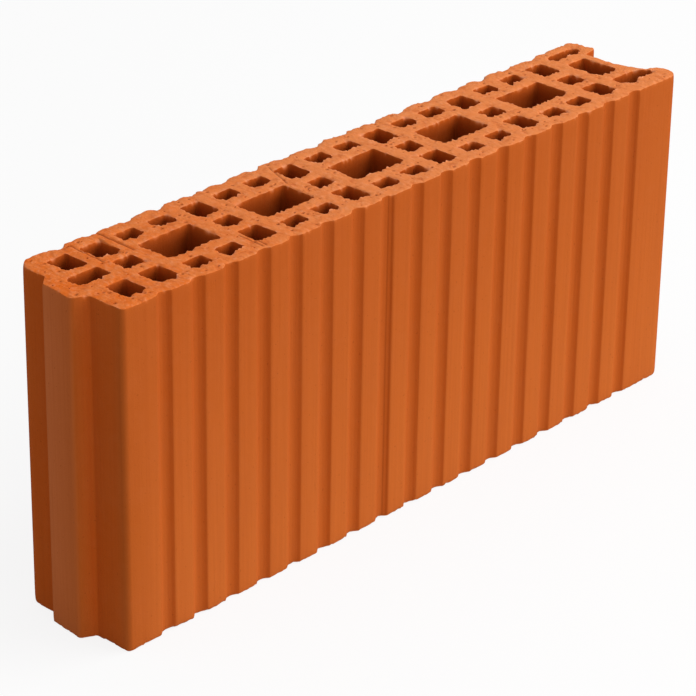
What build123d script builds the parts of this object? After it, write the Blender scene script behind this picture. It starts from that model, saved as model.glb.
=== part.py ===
from build123d import *
import math
import os

# A fired clay partition block, made by pressing clay through a die and wiring it off at its height.
# It stands on one of its two cut faces, so every cell, key and end shape runs straight up through it.
# Plan places: x runs from the tongue-end face to the tip of the rear lip, y from the front face to the back.
# All sizes are in millimetres.

# Outside of the block
length = 500.0
width = 88.0
height = 219.0
tongue_corner_radius = 3.0
rear_tongue_corner_radius = 12.0
rear_lip_corner_radius = 8.0

# Upright key grooves for plaster, the same on both long faces
key_count = 17
key_pitch = 26.4
first_land = 26.0
key_mouth = 11.6
key_depth = 2.5
key_near_flank = 3.4
key_far_flank = 3.8
key_near_edge_radius = 3.0
key_foot_radius = 1.0
key_hollow_radius = 8.0
key_far_edge_radius = 0.5

# Tongue that stands out of one end
tongue_front = 26.5
tongue_rear = 62.8
tongue_rise_front = 9.6
tongue_rise_rear = 7.2
tongue_front_slant = 5.0
tongue_rear_slant = 6.0
tongue_tip_radius = 3.5
tongue_edge_radius = 1.5

# Socket in the other end, between a front lip and a rear lip
socket_depth = 13.5
front_nose_setback = 0.6
front_nose_stand = 4.0
front_nose_radius = 10.0
front_lip = 13.8
front_flank_depth = 9.6
front_flank_rise = 9.9
front_flank_radius = 4.0
front_ramp_rise = 17.3
rear_lip = 20.0
rear_lip_root = 22.0
rear_lip_land = 12.0
rear_lip_setback = 2.2
rear_nose_radius = 3.0
socket_corner_radius = 2.0
socket_ramp_radius = 8.0

# Walls and webs between the cells
outer_wall = 11.3
end_wall = 14.2
end_web = 10.2
cross_web = 11.7
split_web = 11.0
section_wall = 9.3
column_wall = 8.4
socket_wall = 7.7

# Cells. A section and the column after it take up a whole number of key pitches.
section_count = 5
keys_per_section = 3
column_cell = 15.0
column_middle_depth = 12.4
column_middle_inset = 0.6
section_small_depth = 10.4
cell_radius = 1.6
tongue_cell_setback = 13.0
tongue_cell_depth = 12.6
tongue_cell_wall = 6.0
tongue_cell_radius = 3.0
rear_lip_wall = 8.0
rear_lip_cell_tip = 10.5
rear_lip_cell_depth = 8.2
front_lip_wall = 13.4
front_lip_cell_tip = 7.5
front_lip_cell_shoulder = 15.8
front_lip_cell_depth = 11.8
front_lip_cell_tip_depth = 5.6
front_lip_cell_radius = 2.2


def rounded_loop(corners):
    """Close a loop of straight runs through (x, y, radius) corners, with an arc in each corner."""
    runs = []
    for i, (x, y, radius) in enumerate(corners):
        before = corners[i - 1]
        after = corners[(i + 1) % len(corners)]
        to_before = Vector(before[0] - x, before[1] - y)
        to_after = Vector(after[0] - x, after[1] - y)
        half = math.radians(to_before.get_angle(to_after)) / 2
        room = 0.48 * min(to_before.length, to_after.length)
        reach = min(radius / math.tan(half), room)
        arc_radius = reach * math.tan(half)
        corner = Vector(x, y)
        towards = (to_before.normalized() + to_after.normalized()).normalized()
        middle = corner + towards * (arc_radius / math.sin(half) - arc_radius)
        start = corner + to_before.normalized() * reach
        end = corner + to_after.normalized() * reach
        runs.append((start, middle, end))
    edges = []
    for i, (start, middle, end) in enumerate(runs):
        edges.append(ThreePointArc(start, middle, end))
        edges.append(Line(end, runs[(i + 1) % len(runs)][0]))
    return make_face(Wire(edges))


def long_face(y, inward):
    """Corners of one long face from the tongue end to the socket end. inward is +1 or -1 along y."""
    corners = []
    floor = y + inward * key_depth
    for i in range(key_count):
        start = first_land + i * key_pitch
        end = start + key_mouth
        corners.append((start, y, key_near_edge_radius))
        corners.append((start + key_near_flank, floor, key_foot_radius))
        corners.append((end - key_far_flank, floor, key_hollow_radius))
        corners.append((end, y, key_far_edge_radius))
    return corners


def socket_end():
    """Corners of the socket end, from the front face round to the back face."""
    flank_y = front_lip + front_flank_rise
    root_y = width - rear_lip_root
    land_y = width - rear_lip_land
    return [
        (length - front_nose_setback, 0, front_nose_radius),
        (length + front_nose_stand, front_lip, front_nose_radius),
        (length - front_flank_depth, flank_y, front_flank_radius),
        (length - socket_depth, flank_y + front_ramp_rise, socket_ramp_radius),
        (length - socket_depth, root_y, socket_corner_radius),
        (length, width - rear_lip, rear_nose_radius),
        (length - rear_lip_setback, land_y, rear_nose_radius),
        (length - rear_lip_setback, width, rear_lip_corner_radius),
    ]


def tongue_end():
    """Corners of the tongue end, from the back face round to the front face."""
    return [
        (0, width, rear_tongue_corner_radius),
        (0, tongue_rear, tongue_edge_radius),
        (-tongue_rise_rear, tongue_rear - tongue_rear_slant, tongue_edge_radius),
        (-tongue_rise_front, tongue_front + tongue_front_slant, tongue_tip_radius),
        (0, tongue_front, tongue_edge_radius),
        (0, 0, tongue_corner_radius),
    ]


def outline():
    """The outside of the section through the block."""
    front = long_face(0, 1)
    back = list(reversed(long_face(width, -1)))
    return rounded_loop(front + socket_end() + back + tongue_end())


def cell(x0, x1, y0, y1, radius=cell_radius):
    """A four-sided cell with rounded corners."""
    return rounded_loop([(x0, y0, radius), (x1, y0, radius), (x1, y1, radius), (x0, y1, radius)])


def column_cells(x0, with_middle=True):
    """One column of cells across the block: a large one behind each face and a smaller one between."""
    x1 = x0 + column_cell
    middle = width / 2
    inner = column_middle_depth / 2
    outer = inner + column_wall
    cells = [
        cell(x0, x1, outer_wall, middle - outer),
        cell(x0, x1, middle + outer, width - outer_wall),
    ]
    if with_middle:
        inset = column_middle_inset
        cells.append(cell(x0 + inset, x1 - inset, middle - inner, middle + inner))
    return cells


def section_cells(x0, x1):
    """One section: a large cell in the middle, and a pair of small cells behind each face."""
    split = (x0 + x1) / 2
    large_front = outer_wall + section_small_depth + section_wall
    cells = [cell(x0, x1, large_front, width - large_front)]
    for near, far in ((x0, split - split_web / 2), (split + split_web / 2, x1)):
        cells.append(cell(near, far, outer_wall, outer_wall + section_small_depth))
        cells.append(cell(near, far, width - outer_wall - section_small_depth, width - outer_wall))
    return cells


def tongue_cell():
    """The cell that reaches from the first column into the root of the tongue."""
    y0 = tongue_front + tongue_cell_setback
    y1 = y0 + tongue_cell_depth
    x1 = end_wall + column_cell
    return rounded_loop([
        (tongue_cell_wall, y0, tongue_cell_radius),
        (x1, y0, cell_radius),
        (x1, y1, cell_radius),
        (tongue_cell_wall, y1, tongue_cell_radius),
    ])


def lip_cells(x0):
    """The last cells: one behind each lip of the socket, and one across the socket floor."""
    rear_y1 = width - rear_lip_wall
    rear_y0 = rear_y1 - rear_lip_cell_depth
    front_y0 = front_lip_wall
    front_y1 = front_y0 + front_lip_cell_depth
    front_tip = length - front_lip_cell_tip
    front_lip_cell = rounded_loop([
        (x0, front_y0, front_lip_cell_radius),
        (front_tip, front_y0, front_lip_cell_radius),
        (front_tip, front_y0 + front_lip_cell_tip_depth, front_lip_cell_radius),
        (length - front_lip_cell_shoulder, front_y1, front_lip_cell_radius),
        (x0, front_y1, front_lip_cell_radius),
    ])
    socket_cell_end = length - socket_depth - socket_wall
    return [
        front_lip_cell,
        cell(x0, length - rear_lip_cell_tip, rear_y0, rear_y1, rear_lip_cell_depth / 2),
        cell(x0, socket_cell_end, front_y1 + section_wall, rear_y0 - section_wall),
    ]


def all_cells():
    """Every cell of the block, from the tongue end to the socket end."""
    first = end_wall
    second = first + column_cell + end_web
    cells = column_cells(first, with_middle=False) + [tongue_cell()] + column_cells(second)
    x0 = second + column_cell + cross_web
    section = keys_per_section * key_pitch - column_cell - 2 * cross_web
    for _ in range(section_count):
        cells += section_cells(x0, x0 + section)
        cells += column_cells(x0 + section + cross_web)
        x0 += keys_per_section * key_pitch
    return cells + lip_cells(x0)


def clay_block():
    """The whole fired block, standing on its lower cut face, centred over the origin."""
    profile = Sketch() + outline()
    profile -= all_cells()
    block = extrude(profile, height)
    box = block.bounding_box()
    return Pos(-box.center().X, -box.center().Y, -box.min.Z) * block


os.makedirs("parts", exist_ok=True)
export_step(clay_block(), "parts/clay_block.step")
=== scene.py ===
import math
import random
import bpy
import numpy as np
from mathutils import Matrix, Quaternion, Vector, noise
from mathutils.geometry import delaunay_2d_cdt
from mathutils.kdtree import KDTree


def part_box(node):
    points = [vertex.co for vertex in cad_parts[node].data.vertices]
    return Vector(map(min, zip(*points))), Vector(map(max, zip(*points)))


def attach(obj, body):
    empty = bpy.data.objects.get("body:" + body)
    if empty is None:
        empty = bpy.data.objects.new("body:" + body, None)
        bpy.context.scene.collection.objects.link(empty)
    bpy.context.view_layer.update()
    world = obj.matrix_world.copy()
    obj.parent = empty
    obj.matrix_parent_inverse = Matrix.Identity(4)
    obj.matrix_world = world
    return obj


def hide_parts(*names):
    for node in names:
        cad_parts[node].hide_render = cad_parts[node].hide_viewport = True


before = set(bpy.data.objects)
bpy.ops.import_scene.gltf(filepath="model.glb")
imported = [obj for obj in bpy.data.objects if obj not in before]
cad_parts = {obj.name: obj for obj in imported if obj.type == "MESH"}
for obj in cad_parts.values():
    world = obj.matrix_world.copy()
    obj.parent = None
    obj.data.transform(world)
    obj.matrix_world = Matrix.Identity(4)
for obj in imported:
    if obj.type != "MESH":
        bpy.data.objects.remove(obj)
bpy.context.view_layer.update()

# A fired clay block as it comes from the kiln. Its sides and cells are smooth, with upright die lines.
# Its top and underside were cut by a wire, which left drag marks, pits and ragged rims.
# Plan work is in millimetres, and the meshes are in metres, in the frame's own place.

MM = 0.001
NODE = "clay_block"
random.seed(8)

# Camera, at the photograph's viewing angle
camera_place = (-1261.6, -1126.1, 925.6)
camera_aim = (-12.3, 2.4, 96.8)
camera_roll = 0.915
focal_length = 156.32

# Light: a sky and two lamps, each with its place, its size and its power, and a pale floor
sky_level = 0.55
lamps = {
    "key": ((1240.0, -1240.0, 1640.0), 2300.0, 40.5),
    "front": ((-480.0, -2350.0, 520.0), 1350.0, 12.0),
}
floor_size = 30
floor_glow = 0.85
seen_floor = 0.9
lighting_floor = 0.35

# Points along the rims: closer on arcs, by how far they turn, and one close to each end of a straight run
rim_spacing = 1.7
least_rim_spacing = 0.45
arc_turn = math.radians(24)
edge_hold = 0.35

# Edges that turn more than this are shaded as sharp ones
sharp_turn = math.radians(48)

# The solid's flat faces are found to within this
level_slack = 0.01

# Points on each cut face, in rows beside its rims and an uneven grid, and rows of points down its walls
top_rows = (0.5, 1.2)
top_spacing = 1.45
top_wall_depths = (0.45, 1.1, 2.2, 4.5, 9.0, 18.0, 40.0, 75.0)
underside_rows = (0.8,)
underside_spacing = 3.4
underside_wall_depths = (0.8, 2.5, 9.0, 35.0)
row_clearance = 0.8
grid_row_gap = 0.87
grid_jitter = 0.3
grid_clearance = 0.55
merge_distance = 1e-5

# Seeds of the two faces' noise, and how deep each face lies in the block, which leaves its relief room
top_seed = 3
top_room = 0.6
underside_seed = 11
underside_room = 0.25

# How far a seed shifts the noise, and what each kind of wear adds to its face's seed
seed_shift = 17.3
wall_wave_seed = 2
drag_seed = 3
uneven_seed = 5
bite_seed = 6
softness_seed = 7

# Drag marks and unevenness of the cuts. A layer of noise has its size, its stretch along y and its
# strength.
drag_layers = ((3.0, 22.0, 0.9), (1.7, 12.0, 0.7))
drag_height = 0.26
uneven_size = 4.6
cut_unevenness = 0.36

# Ragged rims: a chip starts where the noise passes chip_start, and a burr where it is below -burr_start
rim_layers = ((2.1, 1.0, 0.9), (5.0, 1.0, 0.8))
least_drag = 0.6
chip_start = 0.03
most_chipped = 0.7
chip_gain = 1.8
chip_depth = 0.9
chip_reach = 0.5
chip_spread = 0.6
chip_fade = 1.3
burr_start = 0.06
most_burred = 0.6
burr_gain = 1.9
burr_lift = 0.55
burr_reach = 0.6
burr_overhang = 0.8
worn_reach = 1.2

# How much a chip in a wall looks like cut clay
chip_look = 0.8
chip_look_gain = 2

# The outer rim has fewer chips, apart from the bites out of its back
outer_chipping = 0.6
back_chipping = 1.05
bite_size = 9.0
bite_share = 0.15

# Rounded rims, which are softer where the clay lies towards soft_side
rim_round = 0.25
rim_reach = 1.0
soft_rim_round = 0.3
soft_side = (-0.5, 0.87)
outer_softness = 0.35
softness_size = 8.0
softness_change = 0.8

# Waves in the walls, and how deep down they still follow the height of the rims
wall_waviness = 0.12
wall_wave_size = 11.0
wall_wave_mean = 0.5
follow_depth = 5.0

# Pits in the upper cut. Each has rings of points round it, with a radius in shares of its size, and a
# count.
pit_count = 190
pit_sizes = (0.5, 1.2)
pit_depth = 1.3
pit_edge = 1.15
pit_rings = ((0.7, 6), (1.35, 9))
pit_clearance = 1.9

# Scores that grit on the wire left in the upper cut: the ends of each, its half width and its depth
wire_scores = (
    ((-185.6, 43.0), (-186.6, 9.0), 0.8, 0.8),
    ((-190.3, 34.0), (-194.8, 12.0), 0.7, 0.5),
    ((-208.5, 39.0), (-210.0, 10.0), 0.8, 0.7),
    ((-131.0, -19.5), (-132.3, -40.0), 0.7, 0.7),
    ((-128.0, -19.5), (-129.6, -40.0), 0.6, 0.5),
    ((-47.0, 37.0), (-56.6, 13.5), 0.8, 0.6),
)
score_side = 1.4
score_clearance = 2.2
# How dark a score's painted shade is, as a share of a pit's
score_shade = 0.6

# Rubbing and painted sheen on the outermost planes: full up to the first distance in from them, and none
# past the second
rub_reach = (2.1, 9.1)

# Shade in the key grooves: deeper below their far edge, and fading towards the floor
groove_limit = 3.75
groove_edge = 0.2
groove_floor_shade = 0.07
groove_far_shade = 0.17
groove_far_gain = 2
# How far the painted shade in the grooves takes away the paler rubbed tone, which paints the deeper colour
# of shade
groove_shade_hue = 3.2
groove_heights = (20.0, 200.0)
groove_fading = (0.4, 1.0)
end_room = 20.0

# Shade in the cells, which grows with depth, and under burrs, round one depth
cell_shade_depth = 4.8
under_rim_shade = 0.45
under_rim_depth = 1.1
under_rim_spread = 0.7

# Dark lines that the die left beside a front groove's far edge: the place, half width and share of each
die_lines = ((-27.5, 0.7, 0.4), (-25.2, 0.6, 0.3))
die_line_core = 0.3
front_only = (-38.0, -40.0)

# The tongue's end, rubbed grey and partly a painted sheen: how deep it reaches, how squarely it faces
# along x, its front and rear edges, and how grey it is beside them
tongue_reach = 4.0
tongue_facing = (0.75, 1.0)
tongue_edges = (-12.0, 17.0)
tongue_greying = (0.4, 1.0)

# Tones of the clay, and between which places the tones of the lands and of the cuts change. Towards the
# far end they grow lighter, which is partly painted light and partly the clay's own tone.
tones = {
    "groove": (0.56, 0.098, 0.0095, 1),
    "near land": (0.53, 0.105, 0.0145, 1),
    "far land": (0.54, 0.113, 0.0165, 1),
    "tongue end": (0.66, 0.18, 0.055, 1),
    "shade": (0.29, 0.045, 0.004, 1),
    "streaks": (0.36, 0.05, 0.005, 1),
    "near cut": (0.73, 0.143, 0.015, 1),
    "far cut": (0.745, 0.215, 0.062, 1),
}
land_places = (-250.0, 250.0)
cut_places = (-250.0, -30.0)

# Tints laid over the tones: the colour of each, where it starts in its field, where it is full, and its
# share there
tints = {
    # Painted light: the lands lighter low on the block
    "low land light": ((0.655, 0.154, 0.027, 1), 210 * MM, 20 * MM, 1.0),
    "first land": ((0.48, 0.098, 0.012, 1), -218 * MM, -244 * MM, 0.8),
    "cloud": ((0.56, 0.128, 0.026, 1), 0.3, 0.7, 0.3),
    "bloom": ((0.6, 0.15, 0.04, 1), 0.45, 0.8, 0.12),
    "specks": ((0.3, 0.045, 0.006, 1), 0.79, 0.85, 0.4),
    "pale cut": ((0.78, 0.25, 0.075, 1), 0.38, 0.62, 0.4),
    "sand": ((0.84, 0.33, 0.16, 1), 0.5, 0.72, 0.4),
    "torn": ((0.5, 0.09, 0.016, 1), 0.53, 0.7, 0.5),
    "worn": ((0.85, 0.36, 0.2, 1), 0.1, 0.8, 0.55),
    # Darker in pits and scores: painted shade
    "pitted": ((0.2, 0.03, 0.006, 1), 0.1, 0.9, 0.85),
}

# Grains of the clay: the size of each, its stretch along x, y and z, its detail and its roughness
even = (1.0, 1.0, 1.0)
grains = {
    "cloud": (55.0, even, 3.0, 0.55),
    "bloom": (7.0, even, 3.0, 0.55),
    "streaks": (1.6, (1.0, 1.0, 60.0), 3.0, 0.55),
    "specks": (1.5, even, 0.0, 0.55),
    "fine": (0.9, even, 3.0, 0.55),
    "pale cut": (9.0, even, 3.0, 0.55),
    "sand": (2.2, (1.0, 1.6, 1.0), 3.0, 0.55),
    "torn": (4.0, (1.0, 1.3, 1.0), 4.0, 0.6),
    "drag": (1.3, (1.0, 20.0, 1.0), 3.0, 0.55),
    "dull": (4.0, even, 3.0, 0.55),
}

# Streaks: the range of their grain, and their share on the lands and in recesses of full_recess and more
streak_range = (0.4, 0.75)
full_recess = 0.4
streak_shares = (0.14, 0.35)

# The material's relief and gloss
relief_depth = 0.65
fine_height = 0.25
streak_height = 0.15
sand_height = 0.8
drag_mark_height = 0.45
torn_depth = 1.2
dull_range = (0.3, 0.7)
roughnesses = (0.82, 0.95)
specular = 0.05

# A place starts to look cut where its cut field passes the first of these, and is all cut past the second
cut_range = (0.1, 0.8)


def waves(points, size, seed, stretch=1.0):
    """Smooth noise at plan points, with features about size across, and stretch times longer along y."""
    shift = seed_shift * seed
    return np.array([
        noise.noise(Vector((x / size + shift, y / (size * stretch) - shift, shift))) for x, y in points
    ])


def layered_waves(points, layers, seed):
    """Layers of smooth noise at plan points, added up."""
    return sum(
        strength * waves(points, size, seed + i, stretch)
        for i, (size, stretch, strength) in enumerate(layers)
    )


def cap_loops(node, level):
    """Edges of a node's flat face at a level, as closed loops of plan points. The solid is on their left,
    and the longest loop comes first."""
    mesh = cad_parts[node].data
    mesh.calc_loop_triangles()
    places = {}
    index = []
    for vertex in mesh.vertices:
        place = tuple(round(c / MM, 3) for c in vertex.co)
        index.append(places.setdefault(place, len(places)))
    points = list(places)
    edges = set()
    for triangle in mesh.loop_triangles:
        corners = [index[v] for v in triangle.vertices]
        if triangle.normal.z > 0.5 and all(abs(points[c][2] - level) < level_slack for c in corners):
            edges |= set(zip(corners, corners[1:] + corners[:1]))
    following = {a: b for a, b in edges if (b, a) not in edges}
    loops = []
    while following:
        first = min(following)
        loop = [first]
        here = following.pop(first)
        while here != first:
            loop.append(here)
            here = following.pop(here)
        loops.append(np.array([points[i][:2] for i in loop]))
    return sorted(loops, key=lambda loop: -np.ptp(loop[:, 0]))


def even_loop(loop):
    """Thin a loop's arcs and divide its straight runs, so that its points are evenly spaced. The points
    close to the ends of a straight run keep its shading flat up to the edge."""
    kept = []
    turned = 0.0
    for i, point in enumerate(loop):
        before = point - loop[i - 1]
        after = loop[(i + 1) % len(loop)] - point
        turned += abs(math.atan2(before[0] * after[1] - before[1] * after[0], before @ after))
        gap = math.dist(point, loop[kept[-1]]) if kept else math.inf
        beside_run = max(math.hypot(*before), math.hypot(*after)) > rim_spacing
        if gap > rim_spacing or gap >= least_rim_spacing and (turned > arc_turn or beside_run):
            kept.append(i)
            turned = 0.0
    points = []
    for i, j in zip(kept, kept[1:] + kept[:1]):
        length = math.dist(loop[i], loop[j])
        steps = max(1, round(length / rim_spacing))
        shares = [s / steps for s in range(steps)]
        if length > rim_spacing and (i + 1) % len(loop) == j:
            shares += [edge_hold / length, 1 - edge_hold / length]
        points += [loop[i] + (loop[j] - loop[i]) * share for share in sorted(shares)]
    return np.array(points)


def into_solid(loop):
    """Unit directions at a loop's points that lead into the clay."""
    ahead = np.roll(loop, -1, axis=0) - np.roll(loop, 1, axis=0)
    side = np.stack([-ahead[:, 1], ahead[:, 0]], 1)
    return side / np.linalg.norm(side, axis=1)[:, None]


def inside(points, loops):
    """Which plan points lie in the clay, by counting the loops' edges to their right."""
    found = np.zeros(len(points), bool)
    for loop in loops:
        for a, b in zip(loop, np.roll(loop, -1, axis=0)):
            spans = (a[1] > points[:, 1]) != (b[1] > points[:, 1])
            if spans.any():
                crossing = a[0] + (points[:, 1] - a[1]) * (b[0] - a[0]) / (b[1] - a[1])
                found ^= spans & (points[:, 0] < crossing)
    return found


def within_outside(points):
    """How far plan points on the outer rim lie within its box, along x and along y."""
    return np.minimum(points - points.min(0), points.max(0) - points)


def rubbed_sheen(points):
    """1 for the plan points that touch what the block lies against, falling to 0 further in. Their paler
    tone is also a painted sheen.
    """
    return np.interp(within_outside(points).min(1), rub_reach, (1, 0))


def grooved(points, into):
    """How shaded the plan points are in the key grooves, which is more below the grooves' far edges."""
    within_x, within_y = within_outside(points).T
    far_side = np.clip(groove_far_gain * into[:, 0], 0, 1)
    shade = groove_floor_shade + groove_far_shade * far_side
    in_groove = (within_x > end_room) & (within_y < groove_limit)
    return np.where(in_groove, shade * np.clip(within_y / groove_edge, 0, 1), 0)


def tipped(points, into):
    """How grey the plan points on the tongue's end are, from rubbing and partly a painted sheen, which is
    most at its rear edge.
    """
    at_end = points[:, 0] < points[:, 0].min() + tongue_reach
    facing = np.interp(into[:, 0], tongue_facing, (0, 1))
    return at_end * facing * np.interp(points[:, 1], tongue_edges, tongue_greying)


def along_score(points, start, end):
    """Distance of plan points from the line between two plan points."""
    run = np.array(end) - start
    share = np.clip((points - start) @ run / (run @ run), 0, 1)
    return np.hypot(*(points - start - share[:, None] * run).T)


def score_points(start, end, half_width, spacing):
    """Plan points in three rows along a score."""
    run = np.array(end) - start
    length = np.hypot(*run)
    side = np.array([-run[1], run[0]]) / length * score_side * half_width
    steps = np.arange(0, length, spacing) / length
    return np.concatenate([start + side * row + steps[:, None] * run for row in (-1, 0, 1)])


def ring(centre, radius, count):
    """Points on a circle, turned at random."""
    turn = random.uniform(0, math.tau)
    angles = [turn + math.tau * i / count for i in range(count)]
    return [(centre[0] + radius * math.cos(a), centre[1] + radius * math.sin(a)) for a in angles]


class CutFace:
    """One wire-cut face: its rims, its wear, and the points and triangles that cover it."""

    def __init__(self, loops, seed, room, rows, spacing, wall_depths, pits=0, scores=()):
        self.seed = seed
        self.room = room
        self.scores = scores
        self.loops = loops
        self.rims = np.concatenate(loops)
        self.into = np.concatenate([into_solid(loop) for loop in loops])
        self.outside = np.arange(len(self.rims)) < len(loops[0])
        self.wear_rims()
        self.tone_rims()
        self.wall_depths = wall_depths
        self.rim = self.wall(0.0)
        self.walls = [self.wall(depth) for depth in wall_depths]
        self.tree = KDTree(len(self.rim))
        for i, point in enumerate(self.rim):
            self.tree.insert((*point, 0), i)
        self.tree.balance()
        self.cover(rows, spacing, pits)
        self.sink()

    def wear_rims(self):
        """How far each rim point is broken back, how far a burr hangs from it, and how round it is. Rims
        are ragged where the wire comes out of the clay, which is on the back of each wall."""
        dragged = least_drag + (1 - least_drag) * np.clip(-self.into[:, 1], 0, 1)
        rough = layered_waves(self.rims, rim_layers, self.seed)
        self.chipped = np.clip(rough - chip_start, 0, most_chipped) * chip_gain * dragged
        self.burred = np.clip(-rough - burr_start, 0, most_burred) * burr_gain * dragged
        outer = self.rims[self.outside]
        at_back = np.clip(-self.into[self.outside, 1], 0, 1) * (outer[:, 1] > 0)
        bites = np.clip(waves(outer, bite_size, self.seed + bite_seed) + bite_share, 0, 1)
        self.chipped[self.outside] *= outer_chipping
        self.chipped[self.outside] += back_chipping * bites * at_back
        self.burred[self.outside] = 0
        change = 1 + softness_change * waves(self.rims, softness_size, self.seed + softness_seed)
        softened = np.clip(self.into @ soft_side, 0, 1) * change
        most = soft_rim_round * np.where(self.outside, outer_softness, 1.0)
        self.rounding = rim_round + most * softened

    def tone_rims(self):
        """How shaded, how rubbed and how grey the outer rim's points are. The shade is painted, the rubbed
        and grey tones are partly a painted sheen, and the painted shade takes back some of the rubbed
        tone. The cells' points are none of these.
        """
        self.grooved = np.where(self.outside, grooved(self.rims, self.into), 0.0)
        # The painted groove shade also takes back the paler rubbed tone, for the deeper colour that shade
        # has
        unshaded = 1 - groove_shade_hue * self.grooved
        self.rubbed_sheen = np.where(self.outside, rubbed_sheen(self.rims), 0.0) * unshaded
        self.tipped = np.where(self.outside, tipped(self.rims, self.into), 0.0)

    def wall(self, depth):
        """The rims' plan points at a depth below the cut."""
        fade = math.exp(-depth / chip_fade)
        wave = waves(self.rims, wall_wave_size, self.seed + wall_wave_seed)
        push = (self.chipped * chip_depth - self.burred * burr_overhang) * fade
        push += self.rounding * math.exp(-depth / rim_reach)
        push += wall_waviness * (wall_wave_mean + wave * (1 - fade))
        push[self.outside] = push[self.outside].clip(0)
        return self.rims + self.into * push[:, None]

    def wall_fields(self, depth, height):
        """What the material reads on the walls, at a depth below the cut and a height over the floor."""
        fade = math.exp(-depth / chip_fade)
        under_burr = math.exp(-((depth - under_rim_depth) / under_rim_spread) ** 2)
        # Painted shade in the cells, growing with depth and under burrs
        in_cell = 1 - math.exp(-depth / cell_shade_depth)
        in_cell += under_rim_shade * np.clip(self.burred, 0, 1) * under_burr
        in_groove = self.grooved * np.interp(height, groove_heights, groove_fading)
        return {
            "cut": chip_look * fade * np.clip(chip_look_gain * self.chipped, 0, 1),
            "worn": np.clip(self.chipped + self.burred, 0, 1) * fade,
            "rubbed_sheen": self.rubbed_sheen,
            "recess_shade": np.where(self.outside, in_groove, in_cell),
            "tip": self.tipped,
        }

    def nearest(self, points):
        """Distance from each plan point to the nearest rim point, and that rim point's number."""
        found = [self.tree.find((*point, 0)) for point in points]
        return np.array([distance for _, _, distance in found]), np.array([i for _, i, _ in found])

    def loose_grid(self, spacing):
        """An uneven grid of plan points over the whole face."""
        low = self.loops[0].min(0)
        high = self.loops[0].max(0)
        across = np.arange(low[0], high[0], spacing)
        along = np.arange(low[1], high[1], spacing * grid_row_gap)
        grid = np.array([(x + spacing / 2 * (j % 2), y) for j, y in enumerate(along) for x in across])
        loose = [[random.uniform(-grid_jitter, grid_jitter) * spacing for _ in range(2)] for _ in grid]
        return grid + loose

    def cover(self, rows, spacing, pits):
        """Cover the face with triangles, between rows of points beside each rim, a grid, and points that
        follow the pits and scores."""
        bounds = np.split(self.rim, np.cumsum([len(loop) for loop in self.loops])[:-1])
        beside = np.concatenate([self.rim + self.into * row for row in rows])
        clear = np.repeat([row_clearance * row for row in rows], len(self.rims))
        beside = beside[self.nearest(beside)[0] > clear]
        beside = beside[inside(beside, bounds)]
        grid = self.loose_grid(spacing)
        grid = grid[self.nearest(grid)[0] > rows[-1] + grid_clearance * spacing]
        grid = grid[inside(grid, bounds)]
        self.pits = []
        marks = []
        for i in random.sample(range(len(grid)), pits):
            size = random.uniform(*pit_sizes)
            self.pits.append((grid[i], size))
            marks.append(tuple(grid[i]))
            for share, count in pit_rings:
                marks += ring(grid[i], share * size, count)
        for centre, size in self.pits:
            grid = grid[np.hypot(*(grid - centre).T) > pit_clearance * size]
        for start, end, half_width, _ in self.scores:
            grid = grid[along_score(grid, start, end) > score_clearance * half_width]
            line = score_points(start, end, half_width, spacing)
            marks += list(line[inside(line, bounds) & (self.nearest(line)[0] > rows[0])])
        self.join([*self.rim, *beside, *marks, *grid], bounds)

    def join(self, plan, bounds):
        """Join plan points, of which the rims' come first, into triangles that fill the clay."""
        edges = []
        start = 0
        for loop in self.loops:
            last = start + len(loop)
            edges += [(i, i + 1 if i + 1 < last else start) for i in range(start, last)]
            start = last
        plan = [Vector(point) for point in plan]
        points, _, triangles, origins, _, _ = delaunay_2d_cdt(plan, edges, [], 0, merge_distance)
        self.points = np.array(points)
        place = {o: i for i, origin in enumerate(origins) for o in origin}
        self.rim_places = [place[i] for i in range(len(self.rim))]
        centres = self.points[np.array(triangles)].mean(1)
        self.triangles = [t for t, keep in zip(triangles, inside(centres, bounds)) if keep]

    def sink(self):
        """How deep each point lies in the block, how worn it is, and how much painted shade darkens its
        pits and scores.
        """
        distance, i = self.nearest(self.points)
        chipped = self.chipped[i]
        burred = self.burred[i]
        drag = layered_waves(self.points, drag_layers, self.seed + drag_seed)
        sunk = self.room - drag_height * drag
        sunk -= cut_unevenness * waves(self.points, uneven_size, self.seed + uneven_seed)
        sunk += self.rounding[i] * np.exp(-distance / rim_reach)
        sunk += chip_depth * chipped * np.exp(-distance / (chip_reach + chip_spread * chipped))
        sunk -= burr_lift * burred * np.exp(-distance / burr_reach)
        self.pitted = np.zeros(len(self.points))
        for centre, size in self.pits:
            reach = np.hypot(*(self.points - centre).T) / size
            self.pitted = np.maximum(self.pitted, np.clip(pit_edge - reach, 0, 1))
        sunk += pit_depth * self.pitted
        for start, end, half_width, depth in self.scores:
            scored = np.exp(-(along_score(self.points, start, end) / half_width) ** 2)
            sunk += depth * scored
            self.pitted = np.maximum(self.pitted, score_shade * scored)
        self.sunk = np.clip(sunk, 0, None)
        self.worn = np.clip(chipped + burred, 0, 1) * np.exp(-distance / worn_reach)


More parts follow.
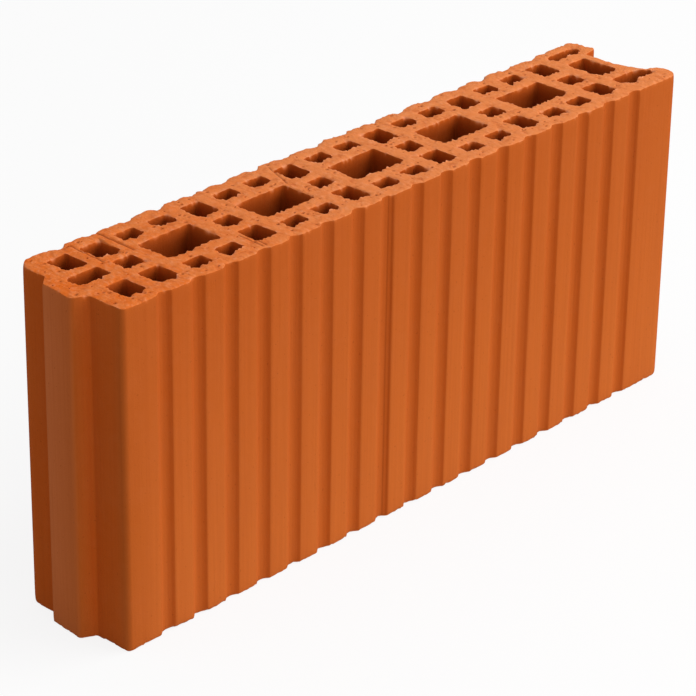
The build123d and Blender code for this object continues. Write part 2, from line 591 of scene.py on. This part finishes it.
class Shell:
    """A mesh in the making: its vertices, its faces, and the fields that the material reads."""

    def __init__(self):
        self.vertices = []
        self.faces = []
        self.fields = {name: [] for name in ("cut", "worn", "pitted", "rubbed_sheen", "recess_shade", "tip")}

    def add_points(self, points, heights, **values):
        """Add vertices over plan points, and give their numbers. A field without values is 0 there."""
        start = len(self.vertices)
        self.vertices += [(x, y, z) for (x, y), z in zip(points, heights)]
        for name, field in self.fields.items():
            field += list(np.broadcast_to(values.get(name, 0.0), len(points)))
        return list(range(start, len(self.vertices)))

    def add_cut(self, face, level, down):
        """Add a cut face at a level, with down leading into the block, and give the rows of its walls."""
        heights = level + down * face.sunk
        places = self.add_points(face.points, heights, cut=1.0, worn=face.worn, pitted=face.pitted)
        self.faces += [[places[i] for i in triangle[::-down]] for triangle in face.triangles]
        rows = [[places[i] for i in face.rim_places]]
        rim_sunk = abs(heights[face.rim_places] - level)
        for depth, wall in zip(face.wall_depths, face.walls):
            fields = face.wall_fields(depth, level + down * depth)
            sunk = rim_sunk * (depth < follow_depth)
            rows.append(self.add_points(wall, level + down * (depth + sunk), **fields))
        return rows

    def add_walls(self, loops, rows):
        """Add the walls between rows of vertices that go round the loops."""
        start = 0
        for loop in loops:
            order = list(range(start, start + len(loop)))
            for upper, lower in zip(rows, rows[1:]):
                for i, j in zip(order, order[1:] + order[:1]):
                    self.faces.append([upper[i], lower[i], lower[j], upper[j]])
            start += len(loop)

    def make(self, name):
        """Make the object."""
        mesh = bpy.data.meshes.new(name)
        mesh.from_pydata([Vector(v) * MM for v in self.vertices], [], self.faces)
        for field, values in self.fields.items():
            mesh.attributes.new(field, "FLOAT", "POINT").data.foreach_set("value", values)
        mesh.validate()
        mesh.set_sharp_from_angle(angle=sharp_turn)
        made = bpy.data.objects.new(name, mesh)
        bpy.context.scene.collection.objects.link(made)
        return made


def build_block():
    """The block: its two cut faces, and the walls between their rims."""
    low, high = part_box(NODE)
    loops = [even_loop(loop) for loop in cap_loops(NODE, high.z / MM)]
    top = CutFace(
        loops, top_seed, top_room, top_rows, top_spacing, top_wall_depths, pit_count, wire_scores
    )
    underside = CutFace(
        loops, underside_seed, underside_room, underside_rows, underside_spacing, underside_wall_depths
    )
    shell = Shell()
    upper_rows = shell.add_cut(top, high.z / MM, -1)
    lower_rows = shell.add_cut(underside, low.z / MM, 1)
    shell.add_walls(loops, upper_rows + lower_rows[::-1])
    return shell.make("fired_block")


def grey(level):
    """A neutral colour."""
    return (level, level, level, 1)


class Nodes:
    """The shader nodes of a material or a world. Textures are laid out in the object's own space."""

    def __init__(self, owner):
        owner.use_nodes = True
        self.tree = owner.node_tree
        self.tree.nodes.clear()

    def add(self, kind, settings=None, **inputs):
        """Add a node. An input is a value, or another node's output."""
        node = self.tree.nodes.new("ShaderNode" + kind)
        for name, value in (settings or {}).items():
            setattr(node, name, value)
        for name, value in inputs.items():
            key = int(name[1:]) if name[0] == "_" else name.replace("_", " ")
            if isinstance(value, bpy.types.NodeSocket):
                self.tree.links.new(value, node.inputs[key])
            else:
                node.inputs[key].default_value = value
        return node

    def place(self):
        """The place of a point on the object."""
        return self.add("TexCoord").outputs["Object"]

    def grain(self, name):
        """Noise from 0 to 1, with one of the grains."""
        size, stretch, detail, roughness = grains[name]
        scales = [1 / (size * MM * s) for s in stretch]
        scaled = self.add("Mapping", Vector=self.place(), Scale=scales).outputs[0]
        field = self.add("TexNoise", Vector=scaled, Scale=1.0, Detail=detail, Roughness=roughness)
        return field.outputs["Fac"]

    def attribute(self, name):
        """A field kept on the mesh."""
        return self.add("Attribute", {"attribute_name": name}).outputs["Fac"]

    def remap(self, value, low, high, to_low=0.0, to_high=1.0):
        """Bring a value from one range to another, clamped."""
        node = self.add("MapRange", _0=value, _1=low, _2=high, _3=to_low, _4=to_high)
        return node.outputs[0]

    def maths(self, operation, a, b=0.0):
        """One arithmetic step."""
        return self.add("Math", {"operation": operation}, _0=a, _1=b).outputs[0]

    def total(self, *parts):
        """Add up fields, each times its weight."""
        whole = 0.0
        for field, weight in parts:
            step = self.add("Math", {"operation": "MULTIPLY_ADD"}, _0=field, _1=weight, _2=whole)
            whole = step.outputs[0]
        return whole

    def between(self, share, a, b):
        """Mix two numbers."""
        return self.add("Mix", {"data_type": "FLOAT"}, _0=share, _2=a, _3=b).outputs[0]

    def mix(self, share, a, b):
        """Mix two colours."""
        return self.add("Mix", {"data_type": "RGBA"}, _0=share, _6=a, _7=b).outputs[2]

    def tint(self, colour, name, field):
        """Lay one of the tints over a colour, where the field says."""
        tinted, start, full, share = tints[name]
        return self.mix(self.remap(field, start, full, 0.0, share), colour, tinted)

    def bump(self, height, distance):
        """Relief of a depth in millimetres."""
        return self.add("Bump", Height=height, Distance=distance * MM, Strength=1.0).outputs[0]


def span(places):
    """A pair of places in metres."""
    return [place * MM for place in places]


def land_colour(m, x, z):
    """Colour of the rubbed lands: a little lighter towards the far end, partly as painted light, paler and
    less red low on the block, which is painted light, and darker beside the tongue.
    """
    # Lighter towards the far end: partly painted light, partly the clay's own tone
    colour = m.mix(m.remap(x, *span(land_places)), tones["near land"], tones["far land"])
    colour = m.tint(colour, "low land light", z)
    return m.tint(colour, "first land", x)


def pressed_clay(m):
    """Colour and height of the sides and cells: smooth with upright streaks, and darker in recesses, where
    shade is painted. The outermost faces are paler, by rubbing and partly by a painted sheen.
    """
    x, y, z = m.add("SeparateXYZ", Vector=m.place()).outputs
    recess_shade = m.attribute("recess_shade")
    streaks = m.grain("streaks")
    # Paler on the outermost faces: rubbing, and a painted sheen
    colour = m.mix(m.attribute("rubbed_sheen"), tones["groove"], land_colour(m, x, z))
    # Grey on the tongue's end: rubbing, and partly a painted sheen
    colour = m.mix(m.attribute("tip"), colour, tones["tongue end"])
    colour = m.tint(colour, "cloud", m.grain("cloud"))
    # Painted shade: darker in the key grooves, in the cells and under burrs
    colour = m.mix(recess_shade, colour, tones["shade"])
    colour = m.tint(colour, "bloom", m.grain("bloom"))
    streak_share = m.remap(recess_shade, 0.0, full_recess, *streak_shares)
    streaked = m.maths("MULTIPLY", m.remap(streaks, *streak_range), streak_share)
    colour = m.mix(streaked, colour, tones["streaks"])
    on_front = m.remap(y, *span(front_only))
    for place, half_width, share in die_lines:
        away = m.maths("ABSOLUTE", m.maths("SUBTRACT", x, place * MM))
        line = m.remap(away, *span((half_width, die_line_core * half_width)), 0.0, share)
        colour = m.mix(m.maths("MULTIPLY", line, on_front), colour, tones["shade"])
    colour = m.tint(colour, "specks", m.grain("specks"))
    return colour, m.total((m.grain("fine"), fine_height), (streaks, streak_height))


def cut_clay(m):
    """Colour and height of the wire-cut faces: sandy and paler, with torn places, worn rims, and pits and
    scores darkened by painted shade. Their tone grows lighter towards the far end, which is partly painted
    light.
    """
    x = m.add("SeparateXYZ", Vector=m.place()).outputs[0]
    sand = m.grain("sand")
    torn = m.grain("torn")
    # Lighter towards the far end: partly painted light, partly the clay's own tone
    colour = m.mix(m.remap(x, *span(cut_places)), tones["near cut"], tones["far cut"])
    colour = m.tint(colour, "pale cut", m.grain("pale cut"))
    colour = m.tint(colour, "sand", sand)
    colour = m.tint(colour, "torn", torn)
    colour = m.tint(colour, "worn", m.attribute("worn"))
    # Painted shade in the pits and scores
    colour = m.tint(colour, "pitted", m.attribute("pitted"))
    drag = m.grain("drag")
    return colour, m.total((sand, sand_height), (drag, drag_mark_height), (torn, -torn_depth))


def clay_material():
    """Fired clay: pressed smooth on the sides and in the cells, sandy and paler where it was cut."""
    material = bpy.data.materials.new("fired_clay")
    m = Nodes(material)
    pressed, pressed_height = pressed_clay(m)
    cut, cut_height = cut_clay(m)
    is_cut = m.remap(m.attribute("cut"), *cut_range)
    colour = m.mix(is_cut, pressed, cut)
    relief = m.bump(m.between(is_cut, pressed_height, cut_height), relief_depth)
    rough = m.remap(m.grain("dull"), *dull_range, *roughnesses)
    shader = m.add(
        "BsdfPrincipled", Base_Color=colour, Roughness=rough, Normal=relief, Specular_IOR_Level=specular
    )
    m.add("OutputMaterial", Surface=shader.outputs[0])
    return material


def white_rays(m):
    """1 for the rays that should see a white background, and 0 for the rays that light the block."""
    path = m.add("LightPath").outputs
    seen = m.maths("MAXIMUM", path["Is Camera Ray"], path["Is Glossy Ray"])
    return m.maths("MAXIMUM", seen, path["Is Transmission Ray"])


def make_floor():
    """A pale floor that shows as white and keeps the block's soft shadow."""
    bpy.ops.mesh.primitive_plane_add(size=floor_size)
    floor = bpy.context.object
    floor.name = "floor"
    material = bpy.data.materials.new("floor_paper")
    m = Nodes(material)
    seen = white_rays(m)
    paper = m.add("BsdfDiffuse", Color=m.mix(seen, grey(lighting_floor), grey(seen_floor)))
    glow = m.add("Emission", Color=grey(1), Strength=1.0)
    share = m.maths("MULTIPLY", seen, floor_glow)
    mixed = m.add("MixShader", _0=share, _1=paper.outputs[0], _2=glow.outputs[0])
    m.add("OutputMaterial", Surface=mixed.outputs[0])
    floor.data.materials.append(material)


def light_scene():
    """Even light from the sky, a large soft lamp above and to the right, and a weaker one low in front."""
    world = bpy.data.worlds.new("studio")
    bpy.context.scene.world = world
    m = Nodes(world)
    level = m.remap(white_rays(m), 0.0, 1.0, sky_level, 1.0)
    sky = m.add("Background", Color=grey(1), Strength=level)
    m.add("OutputWorld", Surface=sky.outputs[0])
    for name, (place, size, power) in lamps.items():
        light = bpy.data.lights.new(name, "AREA")
        light.shape = "DISK"
        light.size = size * MM
        light.energy = power
        lamp = bpy.data.objects.new(name, light)
        lamp.location = Vector(place) * MM
        lamp.rotation_mode = "QUATERNION"
        lamp.rotation_quaternion = (-lamp.location).to_track_quat("-Z", "Y")
        bpy.context.scene.collection.objects.link(lamp)


def place_camera():
    """The camera, at the photograph's place."""
    data = bpy.data.cameras.new("camera")
    data.lens = focal_length
    data.clip_start = 0.1
    data.clip_end = 50
    camera = bpy.data.objects.new("camera", data)
    camera.location = Vector(camera_place) * MM
    direction = Vector(camera_aim) - Vector(camera_place)
    camera.rotation_mode = "QUATERNION"
    roll = Quaternion((0, 0, 1), math.radians(camera_roll))
    camera.rotation_quaternion = direction.to_track_quat("-Z", "Y") @ roll
    bpy.context.scene.collection.objects.link(camera)
    bpy.context.scene.camera = camera


place_camera()
light_scene()
make_floor()
block = build_block()
block.data.materials.append(clay_material())
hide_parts(NODE)
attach(block, "root")
bpy.context.scene.view_settings.view_transform = "Standard"
